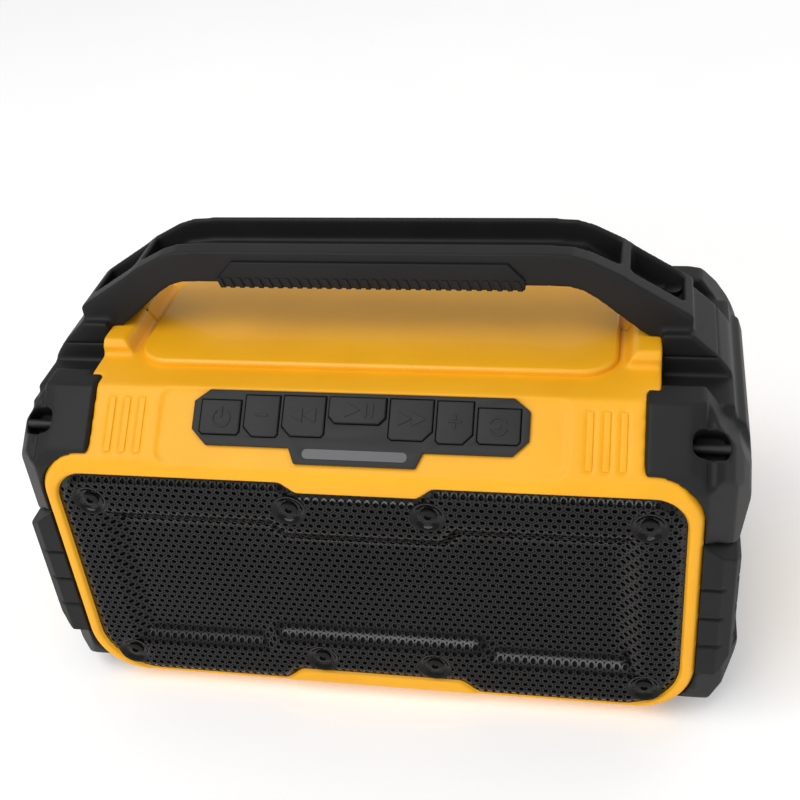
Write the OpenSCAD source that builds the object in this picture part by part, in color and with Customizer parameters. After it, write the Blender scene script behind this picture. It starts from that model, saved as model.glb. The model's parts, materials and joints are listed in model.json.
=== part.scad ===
// Portable wireless speaker with a fixed carry handle: yellow two-part housing, black end caps,
// perforated front grille, sloped keypad and a hinged cover over the rear sockets.
// Millimetres, +Z up, front at -Y, feet on the ground plane.

/* [Body] */
// Width over the end caps
body_w = 261; // [240:1:300]
// Twice the depth of the rear half
body_d = 137; // [128:1:160]
// Height of the deck above the housing floor
deck_h = 127; // [122:1:145]
// Housing wall thickness
wall = 3; // [2.4:0.1:4]
// Slope of the control face above level
face_ang = 40; // [34:1:46]
// Length of the control face along its slope
face_len = 29.6; // [28:0.1:34]
// Width of the flat rim around the grille
rim_w = 4.8; // [4:0.1:8]
// Upper corner radius of the rim
rim_r = 17; // [12:0.5:22]
// Lower corner radius of the rim
low_r = 26; // [20:0.5:30]
// How much shallower the front half is than the rear one
front_set = 3; // [2:0.1:4]
// Depth of the grille seat behind the front rim
seat_depth = 2.2; // [2:0.1:3]
// Depth of the recess inside the rear rim
rear_depth = 5.7; // [4.5:0.1:8]
// Thickness of the baffle and of the rear panel
baffle_t = 4.8; // [4:0.1:7]
// Thickness of the seal between the housing halves
gasket_t = 1.2; // [0.8:0.1:2]
// Height that the feet stand below the housing
foot_h = 1.5; // [1:0.1:4]
// Radius of a foot
foot_r = 8; // [5:0.5:12]

/* [End caps] */
// How far the cap wall stands outside the housing side
cap_t = 2.5; // [1.5:0.1:4]
// Height of the cap surface over the control face
cap_rise = 1.5; // [0.8:0.1:3]
// Width of the strap eye
eye_w = 12; // [9:0.5:13]
// Height of the strap eye along the slope
eye_h = 9.5; // [7:0.5:11]
// Depth of the strap eye
eye_depth = 12; // [10:0.5:13]
// Radius of the strap bar
bar_r = 1.7; // [1:0.1:2.4]
// Top of the corner guards
guard_top = 24; // [18:0.5:30]

/* [Handle] */
// Depth of the handle, front to back
handle_d = 27; // [22:0.5:34]
// Thickness of the front rail
rail_t = 7.6; // [5:0.1:9]
// Thickness of the rear rail
rear_rail_t = 2; // [1.6:0.1:4]
// Height of the rail underside over the deck
grip_gap = 24.8; // [22:0.2:40]
// Height of the rail
rail_h = 12; // [10:0.2:18]
// How far the soft grip stands proud of the rail
grip_t = 1.2; // [0.8:0.1:2]

/* [Grille] */
// Sheet thickness of the grille
sheet_t = 1.2; // [0.8:0.1:1.6]
// Depth of the sunk field
field_h = 4; // [2:0.1:5]
// Width of the sloped border of the sunk field
field_slope = 10; // [6:0.5:12]
// Thickness of the cloth
cloth_t = 0.5; // [0.3:0.1:0.9]
// Screw shank radius
screw_r = 1.45; // [1.2:0.05:1.8]
// Screw head radius
head_r = 3; // [2.6:0.1:3.6]
// Clearance around a screw shank
screw_gap = 0.15; // [0.1:0.05:0.3]

/* [Keypad] */
// Half width of the keypad
pad_hw = 58; // [54:0.5:64]
// Height of the keypad along the slope
pad_h = 19.5; // [17:0.1:21]
// Lower edge of the keypad on the slope
pad_v = 9.3; // [8.5:0.1:10]
// Height of the keypad over the control face
pad_rise = 0.6; // [0.3:0.1:1.2]
// Depth of the keypad seat in the control face
pad_seat = 1.2; // [1:0.1:1.6]
// Height of the keys over the keypad
key_rise = 0.7; // [0.4:0.1:1.2]
// Clearance around a key
key_gap = 0.35; // [0.3:0.05:0.6]
// Travel of a key
key_travel = 0.8; // [0.4:0.1:1]

/* [Drivers] */
// Distance of each driver from the middle
driver_x = 52; // [48:0.5:56]
// Height of the driver axis over the middle of the grille opening
driver_z = -0.5; // [-3:0.5:2]
// Radius of the driver flange
flange_r = 41; // [37:0.5:42]

/* [Hidden] */
$fn = 64;
hw = body_w / 2;
hd = body_d / 2;
fd = hd - front_set;
side_hw = hw - cap_t;
ring_hw = hw - 15.5;
core_hw = hw - 35.2;
deck_hw = hw - 30.6;
ring_h = deck_h - 16;
open_hw = ring_hw - rim_w;
open_z0 = rim_w + 0.2;
open_z1 = ring_h - rim_w - 2.2;
side_d = 45;
deck_y = 37;
side_z0 = 18;
side_z1 = deck_h - 27;
bf = -fd + seat_depth;
bb = bf + field_h + cloth_t + baffle_t;
header_y = bf + baffle_t + 0.5;
g2 = gasket_t / 2;
fs = sin(face_ang);
fc = cos(face_ang);
by = -fd;
bz = deck_h - face_len * fs;
ty = by + face_len * fc;
cy0 = by + wall * fs;
cz0 = bz - wall * fc;
cav_z1 = cz0 + (header_y - cy0) * fs / fc;
cav_y2 = cy0 + (deck_h - wall - cz0) * fc / fs;
boss_x = hw - 41.9;
boss_y = 24;
boss_h = 5.4;
eye_x = hw - 14.5;
eye_v = 16;
bar_n = -7.5;
col_x = ring_hw - 14;
col_z = [open_z0 + 11, open_z1 - 12];
grille_y = bf - sheet_t;
field_hw = open_hw - 13.2;
field_z0 = open_z0 + 14.5;
field_z1 = open_z1 - 15;
grille_top = open_z1 - 11.8;
grille_low = open_z0 + 10.8;
grille_x = open_hw - 12.6;
grille_pts = [[-grille_x, grille_top], [-24.3, grille_top], [24.3, grille_top], [grille_x, grille_top],
  [-grille_x, grille_low], [-21.5, grille_low + 3.2], [21.5, grille_low + 3.2], [grille_x, grille_low]];
driver_axis = (open_z0 + open_z1) / 2 + driver_z;
cap_low = ring_h - 34.4;
groove_z = [for (i = [0 : 2]) guard_top + 14.4 + 13.4 * i];
plate_hw = boss_x - 3.1;
plate_hd = 30.5;
plate_t = 2.5;
key_x = [-48, -33.3, -18.5, 0, 18.5, 33.3, 48];
key_w = [14, 12, 14.6, 19.4, 14.6, 12, 14];
key_lo = [for (d = [3.8, 3.4, 4, 9, 4, 3.4, 3.8]) pad_v + d];
key_hi = [for (d = [3.8, 1.8, 1.6, 1.6, 1.6, 1.8, 3.8]) pad_v + pad_h - d];
key_cut = [[0.9, 0.9], [3.2, 0.9], [3.2, 0.9], [2.2, 2.2], [0.9, 3.2], [0.9, 3.2], [0.9, 0.9]];
board_n = -9;
board_t = 1.6;
main_y = hd - rear_depth - baffle_t - 9.6;
main_t = 1.6;
cell_r = 9.2;
cell_y = 26;
cell_z = wall + 3 + cell_r;
port_z0 = 24;
port_z1 = 48;
port_hw = 30;
door_t = 2.5;
rear_in = hd - rear_depth - baffle_t;
rear_out = hd - rear_depth;
hinge_y = rear_out + 2.5;
hinge_z = port_z0 - 2;
hz1 = deck_h + grip_gap;
hz2 = hz1 + rail_h;
leg_x = hw - 20.5;
foot_x = ring_hw - low_r - foot_r - 1;
leg_screw_y = [for (d = [-5, 5]) (rail_t - rear_rail_t) / 2 + d];

module lift() {
  translate([0, 0, foot_h]) children();
}

module along_x(x0, x1) {
  translate([x0, 0, 0]) rotate([90, 0, 90]) linear_extrude(x1 - x0) children();
}

module along_y(y0, y1) {
  translate([0, y1, 0]) rotate([90, 0, 0]) linear_extrude(y1 - y0) children();
}

module on_face() {
  translate([0, by, bz]) rotate([face_ang, 0, 0]) children();
}

module both_sides() {
  children();
  mirror([1, 0, 0]) children();
}

module box(x0, x1, y0, y1, z0, z1) {
  translate([x0, y0, z0]) cube([x1 - x0, y1 - y0, z1 - z0]);
}

// Flat rectangle given by its edges
module rect(x0, x1, z0, z1) {
  translate([x0, z0]) square([x1 - x0, z1 - z0]);
}

// Flat rectangle with round corners given by its edges
module rrect(x0, x1, z0, z1, r) {
  rect(x0 + r, x1 - r, z0, z1);
  rect(x0, x1, z0 + r, z1 - r);
  translate([x0 + r, z0 + r]) circle(r);
  translate([x1 - r, z0 + r]) circle(r);
  translate([x0 + r, z1 - r]) circle(r);
  translate([x1 - r, z1 - r]) circle(r);
}

// Flat shape with half width x, lower corner radius q and upper corner radius r
module tub(x, z0, z1, q, r) {
  rect(-x + q, x - q, z0, z1 - r);
  rect(-x, x, z0 + q, z1 - r);
  rect(-x + r, x - r, z0 + q, z1);
  for (s = [-1, 1]) {
    translate([s * (x - q), z0 + q]) circle(q);
    translate([s * (x - r), z1 - r]) circle(r);
  }
}

// Outline of the rim, shrunk by g
module ring(g) {
  tub(ring_hw - g, g, ring_h - g, low_r - g, rim_r - g);
}

// Cross section of the housing at the parting plane
module section_outer() {
  ring(0);
  rect(-core_hw, core_hw, 40, deck_h);
  rect(-side_hw, side_hw, side_z0, side_z1);
  rect(-deck_hw, deck_hw, side_z1 - 5, deck_h);
  rect(boss_x + 3.4, deck_hw, deck_h - 1, deck_h + boss_h);
  rect(-deck_hw, -boss_x - 3.4, deck_h - 1, deck_h + boss_h);
}

// Front view of the boss beside the deck plate, with a sloped inner side
module boss_section() {
  polygon([[boss_x - 0.7, deck_h - 1], [boss_x - 0.7, deck_h], [boss_x + 1.6, deck_h + boss_h - 1.2],
    [boss_x + 3.4, deck_h + boss_h], [deck_hw, deck_h + boss_h], [deck_hw, deck_h - 1]]);
}

module section_inner() {
  ring(wall);
  rect(-core_hw + wall, core_hw - wall, 40, deck_h - wall);
  rect(-side_hw + wall, side_hw - wall, side_z0 + wall, side_z1 - wall);
}

// Grille opening with a narrow notch above and a wide one below, shrunk by g
module opening(g) {
  difference() {
    tub(open_hw - g, open_z0 + g, open_z1 - g, low_r - rim_w - g, rim_r - rim_w - g);
    polygon([[-26.5 - g, open_z1 + 1], [-26.5 - g, open_z1 - g], [-20.8 - g, open_z1 - 4.6 - g],
      [20.8 + g, open_z1 - 4.6 - g], [26.5 + g, open_z1 - g], [26.5 + g, open_z1 + 1]]);
    polygon([[-37 - g, open_z0 - 1], [-37 - g, open_z0 + g], [-30.5 - g, open_z0 + 5.5 + g],
      [30.5 + g, open_z0 + 5.5 + g], [37 + g, open_z0 + g], [37 + g, open_z0 - 1]]);
  }
}

// Solid outer form of a shell that reaches d forward, with bevelled edges around the rim
module shell_outer(d) {
  intersection() {
    along_x(-ring_hw, ring_hw)
      polygon([[-d + 6.5, 0], [-d, 5.5], [-d, bz - 3], [by + 2.3, bz + 2.3 * fs / fc], [ty, deck_h],
        [-g2, deck_h], [-g2, 0]]);
    along_y(-d, -g2) {
      ring(0);
      rect(-core_hw, core_hw, 40, deck_h);
    }
    linear_extrude(200) polygon([[-ring_hw - 1, -g2], [-ring_hw - 1, 2.5 - d], [-ring_hw, 2.5 - d],
      [1.6 - ring_hw, -d], [ring_hw - 1.6, -d], [ring_hw, 2.5 - d], [ring_hw + 1, 2.5 - d], [ring_hw + 1, -g2]]);
  }
  along_y(-side_d, -g2) rect(-side_hw, side_hw, side_z0, side_z1);
  along_y(-deck_y, -g2) rect(-deck_hw, deck_hw, side_z1 - 5, deck_h);
  both_sides() intersection() {
    along_y(-boss_y, -g2) boss_section();
    along_x(boss_x - 5, hw) polygon([[-boss_y, deck_h - 2], [-boss_y, deck_h + boss_h - 2.2],
      [3.2 - boss_y, deck_h + boss_h + 1], [0, deck_h + boss_h + 1], [0, deck_h - 2]]);
  }
}

// Hollow of a shell whose face is b deep, with more room under the control face
module shell_inner(b) {
  along_x(-core_hw + wall, core_hw - wall) {
    rect(b, 0, 40, field_z1 + 4);
    polygon([[header_y, field_z1 + 3], [header_y, cav_z1], [cav_y2, deck_h - wall], [0, deck_h - wall],
      [0, field_z1 + 3]]);
  }
  along_y(b, 0) ring(wall);
  along_y(-side_d + wall, 0) rect(-side_hw + wall, side_hw - wall, side_z0 + wall, side_z1 - wall);
}

module at_columns() {
  for (sx = [-1, 1]) for (cz = col_z) translate([sx * col_x, 0, cz]) children();
}

// Keypad outline on the control face, grown by g
module pad_outline(g) {
  c = 5.3;
  k = 0.414 * g;
  r = [[20.8 + g, pad_v - 5.4 - g], [23.1 + g, pad_v - g], [pad_hw - c + k, pad_v - g],
    [pad_hw + g, pad_v + c - k], [pad_hw + g, pad_v + pad_h - 4.2 + k], [pad_hw - c + k, pad_v + pad_h + g]];
  polygon(concat(r, [for (i = [len(r) - 1 : -1 : 0]) [-r[i][0], r[i][1]]]));
}

// Key outline grown by g, with cut lower corners
module key_outline(i, g) {
  x0 = key_x[i] - key_w[i] / 2 - g;
  x1 = key_x[i] + key_w[i] / 2 + g;
  z0 = key_lo[i] - g;
  z1 = key_hi[i] + g;
  a = key_cut[i][0] + 0.586 * g;
  b = key_cut[i][1] + 0.586 * g;
  polygon([[x0, z0 + a], [x0 + a, z0], [x1 - b, z0], [x1, z0 + b], [x1, z1], [x0, z1]]);
}

module light_outline() {
  rrect(-18, 18, pad_v - 3.6, pad_v - 0.2, 1.6);
}

module front_housing() {
  color([0.93, 0.66, 0.12]) difference() {
    union() {
      difference() {
        shell_outer(fd);
        shell_inner(bb);
      }
      at_columns() along_y(bb - 1, -g2) circle(4.5);
      on_face() for (p = [[-57.5, 19], [57.5, 19], [-28, 7.5], [28, 7.5]])
        translate([p[0], p[1], board_n + board_t]) cylinder(r = 2.2, h = -board_n - board_t - wall + 0.5);
    }
    along_y(-hd - 1, bf) opening(0);
    along_y(bf - 1, bf + field_h + cloth_t) field_outline(0.3);
    for (sx = [-1, 1]) translate([sx * driver_x, 0, driver_axis]) along_y(bf - 1, bb + 0.5) circle(flange_r - 8);
    for (p = grille_pts) translate([p[0], 0, p[1]]) along_y(bf - 1, bb + 0.5) circle(screw_r + screw_gap);
    for (p = driver_pts()) translate([p[0], 0, p[1]]) along_y(bb - 3, bb + 0.5) circle(screw_r + screw_gap);
    at_columns() along_y(-14, 0) circle(screw_r + screw_gap);
    on_face() {
      translate([0, 0, -0.8]) linear_extrude(3) rrect(-71, 71, 2.4, pad_v + pad_h + 0.4, 5);
      translate([0, 0, -pad_seat]) linear_extrude(4) pad_outline(0.2);
      for (i = [0 : 6]) translate([0, 0, -wall - 1]) linear_extrude(wall + 2) key_outline(i, key_gap + 0.55);
      translate([0, 0, -wall - 1]) linear_extrude(wall + 2) rect(-16, 16, pad_v - 3, pad_v - 0.8);
      for (p = [[-57.5, 19], [57.5, 19], [-28, 7.5], [28, 7.5]])
        translate([p[0], p[1], board_n]) cylinder(r = 1, h = 6);
      for (sx = [-1, 1]) for (fx = [77.5, 83, 88.5])
        translate([sx * fx - 1.6, 5, -0.8]) cube([3.2, 21, 3]);
    }
    foot_pockets();
  }
}

module foot_pockets() {
  for (sx = [-1, 1]) for (sy = [-1, 1])
    translate([sx * foot_x, sy * (hd - 20), -1]) cylinder(r = foot_r, h = 2);
}

module rear_housing() {
  color([0.93, 0.66, 0.12]) difference() {
    union() {
      mirror([0, 1, 0]) difference() {
        shell_outer(hd);
        shell_inner(-rear_in);
      }
      at_columns() along_y(g2, rear_in + 1) circle(4.5);
      for (p = main_pts()) translate([p[0], 0, p[1]]) along_y(main_y + main_t, rear_in + 0.5) circle(3.2);
      both_sides() {
        along_x(20.5, 26) translate([hinge_y, hinge_z]) circle(2);
        box(20.5, 26, rear_out - 0.5, hinge_y, hinge_z - 1.9, hinge_z + 1.6);
      }
    }
    difference() {
      along_y(rear_out, hd + 1) tub(open_hw, open_z0, open_z1, low_r - rim_w, rim_r - rim_w);
      both_sides() {
        along_x(20.5, 26) translate([hinge_y, hinge_z]) circle(2);
        box(20.5, 26, rear_out - 0.5, hinge_y, hinge_z - 1.9, hinge_z + 1.6);
      }
    }
    along_x(-27, 27) translate([hinge_y, hinge_z]) circle(0.9);
    along_y(rear_out - 3, rear_out + 1) rrect(-port_hw, port_hw, port_z0, port_z1, 3);
    along_y(rear_in - 1, rear_out) socket_windows(0.15);
    at_columns() {
      along_y(-1, hd) circle(screw_r + screw_gap);
      along_y(15, hd) circle(head_r + 0.3);
    }
    for (p = main_pts()) translate([p[0], 0, p[1]]) along_y(main_y, rear_in) circle(1.2);
    foot_pockets();
  }
}

// Socket openings in the rear panel, grown by g
module socket_windows(g) {
  rrect(-25.5 - g, -16.5 + g, 34.3 - g, 37.7 + g, 1.6);
  translate([-7, 36]) circle(3.4 + g);
  rect(2 - g, 15 + g, 33.2 - g, 38.8 + g);
  rect(18 - g, 27 + g, 35 - g, 37 + g);
}

function main_pts() = [[-52, 34], [52, 34], [-52, 86], [52, 86]];
function driver_pts() = [for (sx = [-1, 1]) for (a = [45, 135, 225, 315])
  [sx * driver_x + (flange_r - 3) * cos(a), driver_axis + (flange_r - 3) * sin(a)]];

module housing_gasket() {
  color([0.1, 0.1, 0.1]) along_y(-g2, g2) difference() {
    section_outer();
    section_inner();
  }
}

module deck_plate() {
  color([0.95, 0.68, 0.14]) translate([0, 0, deck_h]) linear_extrude(plate_t)
    rrect(-plate_hw, plate_hw, -plate_hd, plate_hd, 12);
}

// Space that the housing takes beside a cap or guard
module housing_space() {
  along_y(-hd, hd) {
    ring(0);
    rect(-core_hw, core_hw, 40, deck_h + 10);
  }
  along_y(-deck_y, deck_y) rect(-deck_hw, deck_hw, side_z1 - 5, deck_h + 10);
  along_y(-side_d, side_d) rect(-side_hw, side_hw, side_z0, side_z1);
}

module plan_outline() {
  p = [[core_hw - 5, -fd], [hw - 16, -fd], [hw - 5.5, 9.5 - fd], [hw, -side_d]];
  polygon(concat(p, [for (i = [3 : -1 : 0]) [p[i][0], -p[i][1]]]));
}

// Air over the rounded front shoulder of a cap
module crown() {
  on_face() translate([0, 60, cap_rise]) rotate([90, 0, 0]) linear_extrude(80)
    polygon([[hw - 21, 0], [hw - 15.5, -1.1], [hw - 10.5, -4], [hw - 6.6, -8.8], [hw - 3.4, -15], [hw - 1, -21.5],
      [hw, -27.5], [hw + 5, -27.5], [hw + 5, 12], [hw - 21, 12]]);
  along_y(-hd, -33.9) polygon([[hw - 17.5, deck_h + 2], [hw - 9.2, deck_h - 10], [hw - 4.7, deck_h - 15.6],
    [hw, deck_h - 28], [hw + 5, deck_h - 28], [hw + 5, deck_h + 2]]);
}

module end_cap() {
  ny = by - cap_rise * fs;
  nz = bz + cap_rise * fc;
  zt = deck_h + 0.5;
  yt = ny + (zt - nz) * fc / fs;
  difference() {
    intersection() {
      along_y(-hd, hd)
        polygon([[core_hw - 5, ring_h - 20], [hw - 16.5, cap_low + 9.8], [hw - 3.2, cap_low], [hw, cap_low + 13],
          [hw, deck_h - 28], [hw - 1, deck_h - 20], [hw - 4, deck_h - 10], [hw - 12, zt], [core_hw - 5, zt]]);
      linear_extrude(200) plan_outline();
      along_x(core_hw - 5, hw + 5)
        polygon([[0.5 - fd, 60], [0.5 - fd, nz - 3], [3 - fd, nz + (3 - fd - ny) * fs / fc], [yt, zt], [-yt, zt],
          [fd - 3, nz + (3 - fd - ny) * fs / fc], [fd - 0.5, nz - 3], [fd - 0.5, 60]]);
    }
    housing_space();
    crown();
    mirror([0, 1, 0]) crown();
    for (sy = [-1, 1]) box(deck_hw - 1, hw + 1, sy > 0 ? 17 : -34, sy > 0 ? 34 : -17, deck_h - 7.5, deck_h + 5);
    box(deck_hw - 1, hw + 1, -17, 17, deck_h, deck_h + 5);
    along_y(-33.9, 33.9) polygon([[hw - 11.5, deck_h + 1], [hw - 7, deck_h - 6.5], [hw - 5.5, deck_h - 13],
      [hw + 1, deck_h - 17.5], [hw + 1, deck_h + 1]]);
    on_face() {
      translate([0, 0, -eye_depth]) linear_extrude(eye_depth + 5)
        rrect(eye_x - eye_w / 2, eye_x + eye_w / 2, eye_v - eye_h / 2, eye_v + eye_h / 2, 3.4);
      translate([eye_x - 1.5, eye_v - 15, -1.8]) cube([3, 45, 8]);
      translate([eye_x - eye_w / 2 - 3, eye_v, bar_n]) rotate([0, 90, 0]) cylinder(r = bar_r, h = eye_w + 3.3);
    }
    for (sy = leg_screw_y) translate([leg_x - 7, sy, deck_h - 20]) cylinder(r = 1.8, h = 30);
  }
}

module left_end_cap() {
  color([0.16, 0.16, 0.16]) mirror([1, 0, 0]) end_cap();
}

module right_end_cap() {
  color([0.16, 0.16, 0.16]) end_cap();
}

module strap_bars() {
  color([0.2, 0.2, 0.2]) both_sides() on_face()
    translate([eye_x - eye_w / 2 - 3, eye_v, bar_n]) rotate([0, 90, 0]) cylinder(r = bar_r, h = eye_w + 3.3);
}

// Side bumper at the front right corner, four cells between shallow grooves
module bumper() {
  difference() {
    intersection() {
      along_y(-fd, -side_d)
        polygon([[ring_hw - 0.4, guard_top + 0.3], [hw - 7.5, guard_top + 0.3], [hw - 2.5, guard_top + 10],
          [hw - 2.5, cap_low - 2.5], [hw - 4, cap_low - 0.2], [ring_hw - 0.4, cap_low + 8.2]]);
      linear_extrude(120)
        polygon([[ring_hw - 2, -side_d], [ring_hw - 2, 0.5 - fd], [hw - 9, 0.5 - fd], [hw - 4.2, 4 - fd],
          [hw - 2.5, 9 - fd], [hw - 2.5, -side_d]]);
    }
    along_y(-hd, 0) ring(0);
    for (gz = groove_z) {
      translate([ring_hw - 1, -1 - fd, gz - 0.7]) cube([20, 3, 1.4]);
      translate([hw - 3.7, -hd, gz - 0.7]) cube([5, 40, 1.4]);
    }
  }
}

module left_front_bumper() {
  color([0.14, 0.14, 0.14]) mirror([1, 0, 0]) bumper();
}

module right_front_bumper() {
  color([0.14, 0.14, 0.14]) bumper();
}

module left_rear_bumper() {
  color([0.14, 0.14, 0.14]) mirror([1, 0, 0]) mirror([0, 1, 0]) bumper();
}

module right_rear_bumper() {
  color([0.14, 0.14, 0.14]) mirror([0, 1, 0]) bumper();
}

module corner_guard() {
  difference() {
    intersection() {
      along_y(-hd, hd)
        polygon([[ring_hw - 14, 0], [hw - 24, 0], [hw - 13, 3.6], [hw - 5, 10.5], [hw - 1, 17.5], [hw, guard_top - 3],
          [hw, guard_top], [ring_hw - 14, guard_top]]);
      linear_extrude(120) plan_outline();
      along_x(core_hw, hw + 5) polygon([[18 - fd, 0], [8 - fd, 4], [2.5 - fd, 10], [0.5 - fd, 17], [0.5 - fd, 60],
        [fd - 0.5, 60], [fd - 0.5, 17], [fd - 2.5, 10], [fd - 8, 4], [fd - 18, 0]]);
    }
    housing_space();
  }
}

module left_corner_guard() {
  color([0.16, 0.16, 0.16]) mirror([1, 0, 0]) corner_guard();
}

module right_corner_guard() {
  color([0.16, 0.16, 0.16]) corner_guard();
}

// Front view of the handle arch
module arch() {
  p = [[62, hz1], [68.8, hz1 - 0.4], [73.4, hz1 - 1.8], [77.9, hz1 - 4.8], [82.7, hz1 - 8.8],
    [leg_x - 17.5, deck_h + boss_h + 2.3], [leg_x - 14.2, deck_h + boss_h], [leg_x, deck_h + boss_h],
    [leg_x, deck_h + boss_h + 8], [leg_x - 2.5, hz2 - 21.6], [leg_x - 19, hz2 - 11.2], [leg_x - 23.7, hz2 - 7.8],
    [76, hz2 - 2.4], [69.8, hz2 - 0.5], [62, hz2]];
  polygon(concat(p, [for (i = [len(p) - 1 : -1 : 0]) [-p[i][0], p[i][1]]]));
}

module handle() {
  fy = -handle_d / 2;
  fl = 3.4;
  color([0.15, 0.15, 0.15]) difference() {
    union() {
      along_y(fy, -fy) arch();
      both_sides() along_y(-17, 17)
        polygon([[deck_hw, deck_h], [hw - 11.5, deck_h], [leg_x, deck_h + boss_h + 3], [deck_hw, deck_h + boss_h + 3]]);
    }
    along_y(fy + rail_t, -fy - rear_rail_t) {
      polygon([[-leg_x + 25, hz1 - 6.5], [-73, hz1 + fl - 1.2], [-62, hz1 + fl], [62, hz1 + fl],
        [73, hz1 + fl - 1.2], [leg_x - 25, hz1 - 6.5], [leg_x - 25, hz2 + 9], [-leg_x + 25, hz2 + 9]]);
      both_sides() polygon([[leg_x - 21.5, deck_h + boss_h + 11], [leg_x - 13, deck_h + boss_h + 5],
        [leg_x - 3.5, deck_h + boss_h + 5], [leg_x - 3.5, hz2], [leg_x - 21.5, hz2]]);
    }
    both_sides() for (sy = leg_screw_y) translate([leg_x - 7, sy, deck_h - 1]) cylinder(r = 1.8, h = 30);
  }
}

module handle_grip() {
  fy = -handle_d / 2;
  color([0.1, 0.1, 0.1]) {
    along_y(fy - grip_t, fy)
      polygon([[-54, hz1 - grip_t], [-54, hz1 + 2.5], [-48.5, hz1 + 8.6], [48.5, hz1 + 8.6], [54, hz1 + 2.5],
        [54, hz1 - grip_t]]);
    box(-54, 54, fy - grip_t, -fy, hz1 - grip_t, hz1);
  }
}

module handle_screws() {
  color([0.5, 0.5, 0.5]) both_sides() for (sy = leg_screw_y) translate([leg_x - 7, sy, 0]) {
    translate([0, 0, ring_h + 0.3]) cylinder(r = 1.7, h = deck_h + boss_h + 4.7 - ring_h);
    translate([0, 0, deck_h + boss_h + 5]) cylinder(r = 3, h = 2);
  }
}

// Front view of the sunk field, with steps where the notches are, grown by g
module field_outline(g) {
  r = [[40 - g, field_z0 + 5 - g], [40 - g, field_z0 - g], [field_hw + g, field_z0 - g],
    [field_hw + g, field_z1 + g], [30 - g, field_z1 + g], [30 - g, field_z1 - 5 + g]];
  polygon(concat(r, [for (i = [len(r) - 1 : -1 : 0]) [-r[i][0], r[i][1]]]));
}

// Side view of the sunk field between heights z0 and z1, going back from y0
module field_slice(y0, z0, z1) {
  s = field_slope;
  polygon([[y0, z0], [y0, z1], [y0 + field_h, z1 - s], [y0 + field_h, z0 + s]]);
}

// Sunk field of the grille with sloped borders; the steps move out by g
module field(y0, g) {
  x1 = field_hw - field_slope;
  intersection() {
    linear_extrude(200) polygon([[-field_hw, y0], [field_hw, y0], [x1, y0 + field_h], [-x1, y0 + field_h]]);
    union() {
      along_x(-30 - g, 30 + g) field_slice(y0, field_z0 + 5, field_z1 - 5);
      both_sides() {
        along_x(30 + g, 40 + g) field_slice(y0, field_z0 + 5, field_z1);
        along_x(40 + g, field_hw) field_slice(y0, field_z0, field_z1);
      }
    }
  }
}

module front_grille() {
  color([0.06, 0.06, 0.06]) difference() {
    union() {
      along_y(grille_y, bf) opening(0.3);
      field(bf, 0);
    }
    field(grille_y, sheet_t);
    for (p = grille_pts) translate([p[0], 0, p[1]]) along_y(-hd, bf) circle(screw_r + screw_gap);
  }
}

module grille_cloth() {
  color([0.09, 0.09, 0.09]) along_y(bf + field_h, bf + field_h + cloth_t) field_outline(0);
}

module grille_screws() {
  color([0.08, 0.08, 0.08]) for (p = grille_pts) translate([p[0], 0, p[1]]) {
    along_y(grille_y, bb - 0.2) circle(screw_r);
    along_y(grille_y - 1.8, grille_y) difference() {
      circle(head_r);
      circle(1.1, $fn = 6);
    }
  }
}

module keypad() {
  color([0.2, 0.2, 0.21]) on_face() translate([0, 0, -pad_seat]) linear_extrude(pad_seat + pad_rise)
    difference() {
      pad_outline(0);
      for (i = [0 : 6]) key_outline(i, key_gap);
      light_outline();
    }
}

// One key with a hidden retaining flange under the keypad
module key(i) {
  color([0.22, 0.22, 0.23]) on_face() {
    translate([0, 0, -pad_seat - 1]) linear_extrude(pad_seat + 1 + pad_rise + key_rise + (i == 3 ? 0.5 : 0))
      key_outline(i, 0);
    translate([0, 0, -pad_seat - 1.3]) linear_extrude(1) key_outline(i, key_gap + 0.2);
  }
}

module power_button() {
  key(0);
}

module volume_down_button() {
  key(1);
}

module previous_button() {
  key(2);
}

module play_button() {
  key(3);
}

module next_button() {
  key(4);
}

module volume_up_button() {
  key(5);
}

module pairing_button() {
  key(6);
}

module light_bar() {
  color([0.42, 0.42, 0.43]) on_face() translate([0, 0, -pad_seat]) linear_extrude(pad_seat + pad_rise)
    light_outline();
}

module control_board() {
  color([0.1, 0.35, 0.2]) on_face() translate([0, 0, board_n]) linear_extrude(board_t) difference() {
    rect(-61, 61, 4.6, 26.5);
    for (p = [[-57.5, 19], [57.5, 19], [-28, 7.5], [28, 7.5]]) translate(p) circle(1.1);
  }
}

module tact_switches() {
  color([0.3, 0.3, 0.32]) on_face() for (i = [0 : 6])
    translate([key_x[i], (key_lo[i] + key_hi[i]) / 2, board_n + board_t]) {
      translate([-3, -3, 0]) cube([6, 6, 2.2]);
      cylinder(r = 1.6, h = -pad_seat - 1.6 - key_travel - board_n - board_t);
    }
}

module at_driver(s) {
  translate([s * driver_x, bb, driver_axis]) rotate([90, 0, 0]) children();
}

module basket() {
  f = flange_r;
  color([0.25, 0.25, 0.26]) difference() {
    rotate_extrude() polygon([[f - 9, -0.8], [f, -0.8], [f, -3.3], [f - 6.2, -3.3], [f - 15, -21],
      [f - 15, -24], [14, -24], [14, -22], [f - 17, -22], [f - 8.4, -3.3], [f - 9, -3.3]]);
    for (a = [45 : 90 : 315]) rotate([0, 0, a]) translate([f - 3, 0, -5]) cylinder(r = screw_r + screw_gap, h = 6);
    for (a = [0 : 90 : 270]) rotate([0, 0, a]) translate([20, -9, -18]) cube([30, 18, 12]);
  }
}

module motor() {
  m = flange_r - 14;
  color([0.35, 0.35, 0.37]) rotate_extrude() polygon([[0, -24.4], [9.4, -24.4], [9.4, -40], [12.2, -40],
    [12.2, -24], [m - 3, -24], [m - 3, -28], [m, -28], [m, -40], [m - 3, -40], [m - 3, -44], [0, -44]]);
}

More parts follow.
